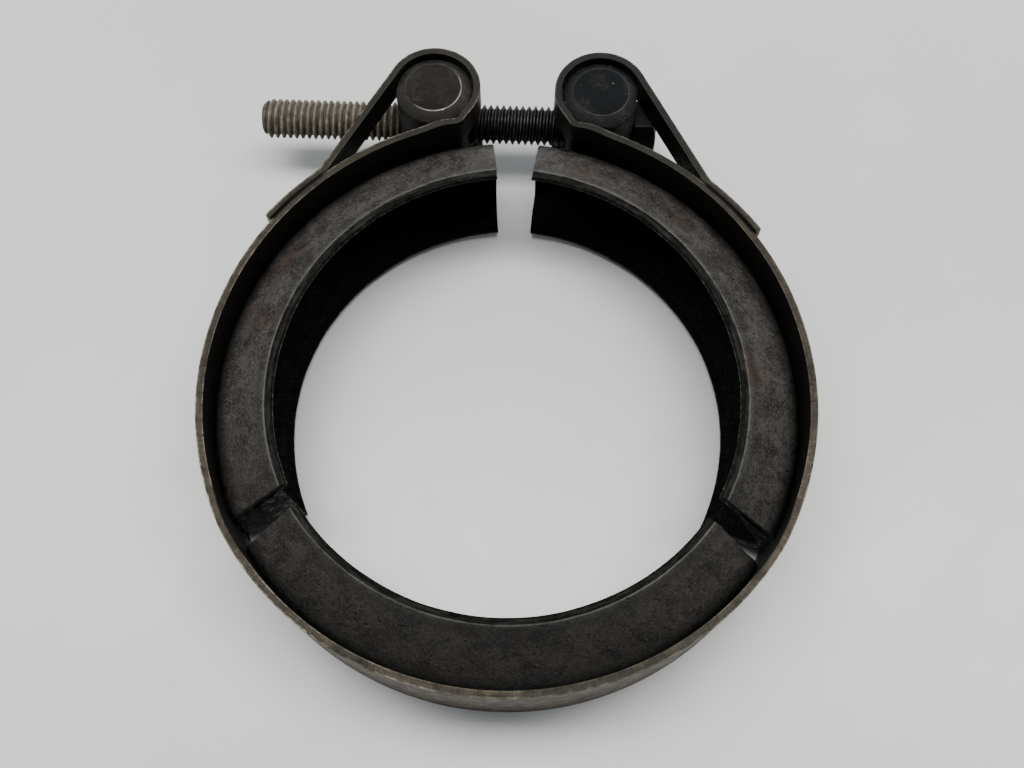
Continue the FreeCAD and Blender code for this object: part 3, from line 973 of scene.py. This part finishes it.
def channel_surface():
    """Oxidised sheet: grey-brown and mottled, with a bright line along the ridges that is part
    rubbed metal and part painted highlight, and painted shade in the groove, by the strap and away
    from the bolt.
    """
    s = Surface("channel_steel", 0.5, 0.6)
    rest, flat = s.place("rest"), s.place("flat")
    along, radius, height = (s.part(flat, axis) for axis in "XYZ")
    mottle = s.noise(rest, 0.30, 8, 0.72, 0.5)
    colour = s.ramp(
        mottle,
        (0.36, (0.014, 0.013, 0.012)),
        (0.47, (0.038, 0.035, 0.032)),
        (0.55, (0.070, 0.066, 0.061)),
        (0.66, (0.045, 0.039, 0.034)),
    )
    grains = s.noise(rest, 3.6, 6, 0.8)
    colour = s.mix(s.ramp(grains, (0.50, 0.0), (0.64, 0.75)), colour, (0.150, 0.143, 0.132))
    dents = s.noise(rest, 2.1, 5, 0.75)
    colour = s.mix(s.ramp(dents, (0.54, 0.0), (0.64, 0.8)), colour, (0.013, 0.012, 0.011))
    pitted = s.ramp(s.noise(rest, 0.42, 3, 0.6), (0.46, 0.0), (0.58, 1.0))
    pits = s.times(s.ramp(s.cells(rest, 1.15), (0.12, 1.0), (0.30, 0.0)), pitted)
    colour = s.mix(s.times(pits, 0.75), colour, (0.012, 0.010, 0.009))
    rust = s.ramp(s.noise(rest, 0.13, 5, 0.6, 0.8), (0.55, 0.0), (0.68, 0.55))
    colour = s.mix(rust, colour, (0.060, 0.036, 0.028))
    # painted shade: darker away from the bolt, on the side turned from the light
    shade_away_from_bolt = s.ramp(s.part(s.place("rest", (1, -0.01, 1)), "Y"), (0.0, 0.0), (0.36, 0.62))
    colour = s.mix(shade_away_from_bolt, colour, (0.010, 0.010, 0.010))
    # a shaded line on the legs just outside the ridge
    top = ring_inner - GROOVE_DEPTH
    size = s.math("ABSOLUTE", height)
    shade = s.band(radius, top + 0.3, top + 1.3, 0.5)
    colour = s.mix(s.times(shade, 0.45), colour, (0.016, 0.016, 0.015))
    # lips: greenish grey, and a bright broken line along the ridge, part rubbed metal and part
    # painted highlight
    lip = s.times(s.above(s.minus(radius), 0.12 - top, 0.05), s.above(size, 7.2, 0.2))
    lip_noise = s.noise(s.place("flat", (0.25, 2, 2)), 1.0, 5, 0.6)
    lip_colour = s.ramp(lip_noise, (0.4, (0.004, 0.005, 0.004)), (0.62, (0.020, 0.021, 0.018)))
    colour = s.mix(s.times(lip, 0.95), colour, lip_colour)
    broken = s.noise(s.place("flat", (0.10, 0.3, 0.3)), 1.0, 5, 0.7)
    # the ridge line is rubbed metal with a painted highlight
    ridge = s.times(
        s.band(radius, top - 0.07, top + 0.10, 0.05),
        s.above(size, 8.4, 0.1),
        s.ramp(broken, (0.42, 0.12), (0.60, 1.0)),
    )
    colour = s.mix(s.times(ridge, 0.8), colour, (0.085, 0.082, 0.074))
    # soot and painted shade inside the groove and by the strap
    slope = (WEB_WIDTH / 2 - (half_width - EDGE_INSET)) / GROOVE_DEPTH
    face = s.times(s.math("SUBTRACT", radius, top), slope)
    sunk = s.math("SUBTRACT", s.plus(face, half_width - EDGE_INSET), size)
    inside = s.above(sunk, 0.9, 0.25)
    soot_and_shade = s.above(radius, 40.4, 0.9)
    colour = s.mix(s.times(soot_and_shade, 0.85), colour, (0.009, 0.009, 0.009))
    colour = s.mix(s.times(inside, 0.95), colour, (0.004, 0.004, 0.004))
    # grease inside near the lips, and by the strap at the channel's ends
    clots = s.noise(rest, 1.1, 6, 0.75)
    near_end = s.above(s.math("ABSOLUTE", along), 0.80 * CHANNEL_ANGLE / 2 * top, 3.0)
    greasy = s.times(inside, s.flip(s.above(radius, top + 3.4, 0.9)))
    oily = s.most(s.times(greasy, 0.9), s.times(near_end, soot_and_shade))
    wet = s.times(s.ramp(clots, (0.52, 0.0), (0.58, 1.0)), oily)
    dry = s.ramp(s.noise(rest, 0.9, 6, 0.7), (0.3, 0.46), (0.7, 0.78))
    roughness = s.blend_value(wet, dry, 0.14)
    s.shader.inputs["Specular IOR Level"].default_value = 0.42
    metallic = s.blend_value(s.most(inside, lip), 0.5, 0.98)
    relief = s.plus(s.times(mottle, 1.5), grains)
    relief = s.math("SUBTRACT", relief, s.times(pits, 0.8))
    relief = s.plus(relief, s.times(clots, greasy, 4.0))
    return s.finish(colour, roughness, relief, 0.06, metallic)


def trunnion_surface(name, dark, light, centre, glint):
    """Oxide-finished barrel with turning marks, scratches and bright nicks."""
    s = Surface(name, 0.55, 0.5)
    rest = s.place("rest")
    mottle = s.noise(rest, 0.55, 7, 0.7, 0.4)
    colour = s.ramp(mottle, (0.40, dark), (0.60, light))
    grains = s.noise(rest, 3.0, 6, 0.75)
    bright = tuple(c * 2.0 for c in light)
    colour = s.mix(s.ramp(grains, (0.50, 0.0), (0.68, 0.45)), colour, bright)
    dents = s.noise(rest, 1.7, 5, 0.75)
    colour = s.mix(s.ramp(dents, (0.54, 0.0), (0.66, 0.7)), colour, tuple(c / 2 for c in dark))
    # the disc on top is darker, and the side towards the ring is darkened as painted shade
    darkest = tuple(c / 3 for c in dark)
    away = s.distance(s.place("rest", (1, 1, 0)), (centre.x, centre.y, 0))
    face = trunnion_radius - BEVEL_WIDTH
    disc = s.flip(s.above(away, face - 0.02, 0.08))
    colour = s.mix(s.times(disc, 0.55), colour, darkest)
    x, y = s.part(rest, "X"), s.part(rest, "Y")
    # painted shade on the side towards the ring
    below = s.above(s.minus(y), 2.4 - centre.y, 1.4)
    colour = s.mix(s.times(below, 0.6), colour, darkest)
    # a painted highlight on the rim, on its side towards +X and -Y
    rim = s.times(
        s.band(away, face - 0.09, face + 0.05, 0.04),
        s.above(s.math("SUBTRACT", x, y), centre.x - centre.y + 1.2, 1.0),
        s.ramp(s.noise(rest, 0.5, 3, 0.5), (0.40, 0.5), (0.56, 1.0)),
    )
    colour = s.mix(s.times(rim, glint), colour, (0.30, 0.29, 0.25))
    scratches = s.noise(s.place("rest", (0.5, 3.4, 0.5)), 1.0, 3, 0.6, 1.4)
    lines = s.ramp(scratches, (0.488, 0.0), (0.5, 1.0), (0.512, 0.0))
    here = s.ramp(s.noise(rest, 0.35, 2, 0.5), (0.5, 0.0), (0.6, 0.7))
    colour = s.mix(s.times(lines, here), colour, (0.12, 0.115, 0.10))
    chips = s.ramp(s.cells(rest, 0.5), (0.035, 1.0), (0.075, 0.0))
    colour = s.mix(s.times(chips, 0.8), colour, (0.45, 0.44, 0.40))
    marks = s.math("SINE", s.times(away, 21.0))
    relief = s.plus(s.times(mottle, 2.0), s.times(marks, 0.12), s.times(grains, 1.2))
    roughness = s.ramp(mottle, (0.3, 0.50), (0.7, 0.70))
    s.shader.inputs["Specular IOR Level"].default_value = 0.45
    return s.finish(colour, roughness, relief, 0.035, s.blend_value(disc, 0.55, 0.88))


def bolt_surface():
    """Black oxide thread, with pale dust on the end that stands out."""
    s = Surface("bolt_steel", 0.6, 0.5)
    rest = s.place("rest")
    mottle = s.noise(rest, 0.8, 6, 0.65)
    black = s.ramp(mottle, (0.3, (0.004, 0.004, 0.005)), (0.7, (0.013, 0.013, 0.015)))
    dust = s.ramp(mottle, (0.38, (0.095, 0.082, 0.060)), (0.62, (0.265, 0.236, 0.180)))
    stub = s.above(s.part(s.place("rest", (-1, 1, 1)), "X"), 15.0, 1.5)
    colour = s.mix(stub, black, dust)
    # darker in the roots, and crests worn in places
    away = s.distance(s.place("rest", (0, 1, 1)), (0, trunnion.y, 0))
    root = s.flip(s.above(away, BOLT_RADIUS - 0.35, 0.2))
    colour = s.mix(s.times(root, 0.75), colour, (0.012, 0.010, 0.007))
    worn = s.ramp(s.noise(rest, 1.2, 3, 0.6), (0.45, 0.0), (0.6, 0.5))
    crest = s.times(s.above(away, BOLT_RADIUS - 0.05, 0.03), worn)
    colour = s.mix(crest, colour, (0.055, 0.055, 0.055))
    relief = s.noise(rest, 3.0, 5, 0.7)
    roughness = s.plus(s.ramp(mottle, (0.3, 0.38), (0.7, 0.58)), s.times(stub, 0.25))
    metallic = s.math("SUBTRACT", 0.6, s.times(stub, 0.45))
    return s.finish(colour, roughness, relief, 0.03, metallic)


def head_surface():
    """Black oxide head with small pale nicks."""
    s = Surface("head_steel", 0.7, 0.4)
    rest = s.place("rest")
    mottle = s.noise(rest, 0.6, 6, 0.65)
    colour = s.ramp(mottle, (0.3, (0.006, 0.006, 0.007)), (0.7, (0.018, 0.018, 0.020)))
    nicks = s.ramp(s.noise(rest, 2.6, 5, 0.7), (0.60, 0.0), (0.70, 0.7))
    colour = s.mix(nicks, colour, (0.07, 0.068, 0.065))
    relief = s.noise(rest, 2.2, 6, 0.7)
    roughness = s.ramp(mottle, (0.3, 0.36), (0.7, 0.56))
    return s.finish(colour, roughness, relief, 0.03)


strap_material = strap_surface()
channel_material = channel_surface()
left_centre = Vector((-trunnion.x, trunnion.y, 0))
right_centre = Vector((trunnion.x, trunnion.y, 0))
left_material = trunnion_surface(
    "trunnion_left_steel", (0.014, 0.013, 0.011), (0.034, 0.032, 0.028), left_centre, 0.85
)
right_material = trunnion_surface(
    "trunnion_right_steel", (0.005, 0.006, 0.007), (0.011, 0.012, 0.013), right_centre, 0.12
)
bolt_material = bolt_surface()
head_material = head_surface()

# ---------------------------------------------------------------- pieces

for name, side, body in (("band_right", 1, "right_arm"), ("band_left", -1, "left_arm")):
    half = make_band_half(name, side < 0)
    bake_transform(half)
    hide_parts("band")

arm_heading = CHANNEL_ANGLE + CHANNEL_GAP + SWING - math.pi / 2
left_arm = Vector((-arm.x, arm.y))
for name, centre, heading, body, recess in (
    ("v_channel_bottom", Vector((0, 0)), -math.pi / 2, "ring", (GAP_WEAR, GAP_WEAR)),
    ("v_channel_right", arm, arm_heading, "right_arm", (GAP_WEAR, 0.0)),
    ("v_channel_left", left_arm, math.pi - arm_heading, "left_arm", (0.0, GAP_WEAR)),
):
    channel = make_channel("look_" + name, centre, heading, recess)
    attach(channel, body)
    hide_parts(name)

for name, side, bore, material in (
    ("trunnion_left", -1, BOLT_RADIUS + THREAD_PLAY, left_material),
    ("trunnion_right", 1, BOLT_RADIUS + HOLE_PLAY, right_material),
):
    barrel = make_trunnion("look_" + name, side, bore, material)
    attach(barrel, "left_trunnion" if side < 0 else "right_trunnion")
    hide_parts(name)

for piece in (make_thread(), make_head()):
    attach(piece, "bolt")
    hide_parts("bolt")

# ------------------------------------------------------ floor and lights


def floor_surface():
    """A plain pale table top."""
    s = Surface("floor", 0.0, 0.35)
    place = s.node("ShaderNodeTexCoord").outputs["Object"]
    cloud = s.noise(place, 9.0, 3, 0.5)
    colour = s.ramp(cloud, (0.3, (0.60, 0.61, 0.605)), (0.7, (0.66, 0.67, 0.665)))
    roughness = s.ramp(s.noise(place, 60.0, 4, 0.6), (0.3, 0.30), (0.7, 0.42))
    return s.finish(colour, roughness, s.noise(place, 400.0, 3, 0.5), 0.01)


floor_reach = 1.5  # in metres
signs = ((-1, -1), (1, -1), (1, 1), (-1, 1))
floor_mesh = bpy.data.meshes.new("floor")
floor_mesh.from_pydata([(x * floor_reach, y * floor_reach, 0) for x, y in signs], [], [range(4)])
floor_mesh.materials.append(floor_surface())
floor = bpy.data.objects.new("floor", floor_mesh)
floor.location.z = cad_bounds[0][2]
bpy.context.scene.collection.objects.link(floor)


def soft_light(name, place, size, watts, tone=(1, 1, 1)):
    """A rectangular lamp that looks at the part."""
    lamp = bpy.data.lights.new(name, "AREA")
    lamp.shape = "RECTANGLE"
    lamp.size, lamp.size_y = size
    lamp.energy = watts
    lamp.color = tone
    obj = bpy.data.objects.new(name, lamp)
    obj.location = place
    obj.rotation_euler = Vector(place).to_track_quat("Z", "Y").to_euler()
    bpy.context.scene.collection.objects.link(obj)


soft_light("overhead", (0.0, 0.16, 0.9), (1.3, 0.28), 14.0, (1.0, 0.985, 0.96))
soft_light("window", (0.1, 0.95, 0.45), (1.2, 0.5), 5.0, (0.95, 0.98, 1.0))

world = bpy.data.worlds.new("studio")
world.use_nodes = True
background = world.node_tree.nodes["Background"]
background.inputs["Color"].default_value = (0.94, 0.97, 1.0, 1.0)
background.inputs["Strength"].default_value = 0.35
bpy.context.scene.world = world

# ----------------------------------------------------------------- camera

# fitted to the ring's edges, the bolt and the loops in the photo
FOCAL_SHARE = 1130 / 1024  # focal length over the picture's width
CAMERA_PLACE = (2.450, -55.471, 151.351)  # in millimetres
CAMERA_TURN = (20.7344, -0.0071, 1.8805)  # about X, Y and Z, in degrees

camera_data = bpy.data.cameras.new("camera")
camera_data.sensor_width = 36.0
camera_data.lens = FOCAL_SHARE * camera_data.sensor_width
camera_data.clip_start = 0.005
camera = bpy.data.objects.new("camera", camera_data)
camera.location = Vector(CAMERA_PLACE) * MM
camera.rotation_euler = [math.radians(angle) for angle in CAMERA_TURN]
bpy.context.scene.collection.objects.link(camera)
bpy.context.scene.camera = camera
